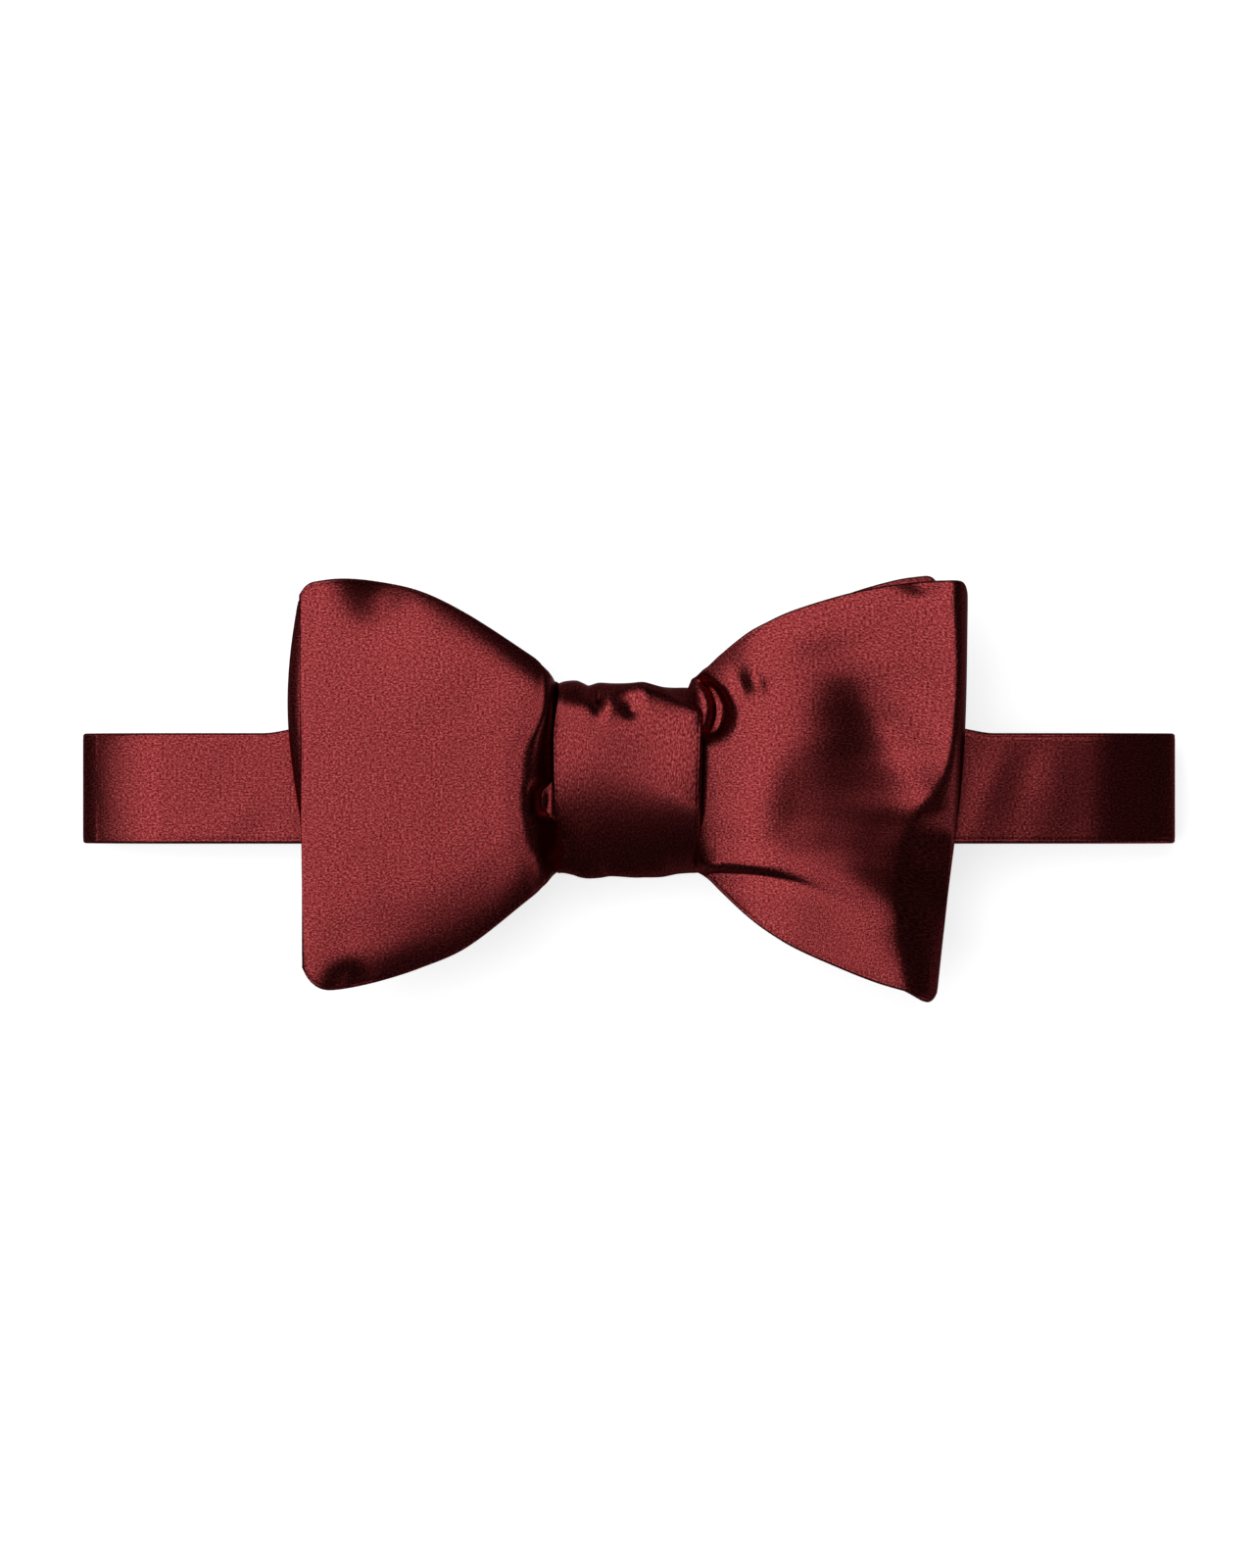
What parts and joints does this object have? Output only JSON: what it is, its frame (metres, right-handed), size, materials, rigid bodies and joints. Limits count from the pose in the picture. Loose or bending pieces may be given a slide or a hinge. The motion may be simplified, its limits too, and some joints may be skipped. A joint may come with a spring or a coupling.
{
  "type": "pre-tied bow tie",
  "caption": "Pre-tied butterfly bow tie in burgundy satin, gathered under a wrapped knot on a flat neck band that closes with a plain clasp, lying on its back.",
  "frame": {"origin": "on the surface that it lies on, under the middle of its box", "axes": "+Z out of the bow's front, +X along the neck band towards the folded front wing, +Y up when worn"},
  "size_m": [0.1986, 0.0767, 0.0283],
  "materials": {
    "satin": "burgundy satin weave with a soft sheen",
    "metal": "plain polished plate"
  },
  "bodies": {
    "root": {"front_bow": "satin", "rear_bow": "satin", "knot": "satin", "neck_band": "satin", "clasp": "metal"}
  },
  "joints": []
}
